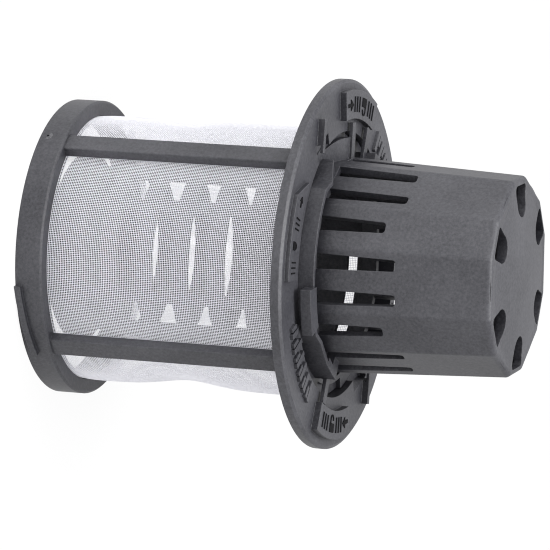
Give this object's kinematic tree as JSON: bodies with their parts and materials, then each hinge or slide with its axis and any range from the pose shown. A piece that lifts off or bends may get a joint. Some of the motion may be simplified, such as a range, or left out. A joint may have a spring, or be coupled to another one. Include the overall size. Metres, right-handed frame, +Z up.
{
  "type": "dishwasher filter",
  "caption": "Two-stage dishwasher filter: gauze-walled frame with a flange, and a lift-out coarse strainer with a slotted, faceted handle and a windowed cone.",
  "frame": {"origin": "centre of the base ring's lower face", "axes": "+Z up along the filter's axis towards the handle's end; -Y is the front, the side that faces the camera"},
  "size_m": [0.098, 0.098, 0.1268],
  "materials": {
    "frame_plastic": "moulded, fine satin grain",
    "strainer_plastic": "moulded, fine satin grain",
    "gauze": "woven translucent monofilament"
  },
  "bodies": {
    "micro_filter": {"filter_frame": "frame_plastic", "mesh_sleeve": "gauze"},
    "coarse_filter": {"strainer_handle": "strainer_plastic", "strainer_cone": "strainer_plastic"}
  },
  "joints": [
    {"name": "strainer_lift", "type": "slide", "parent": "micro_filter", "child": "coarse_filter", "axis": [0, 0, 1], "range_m": [0, 0.08]}
  ]
}
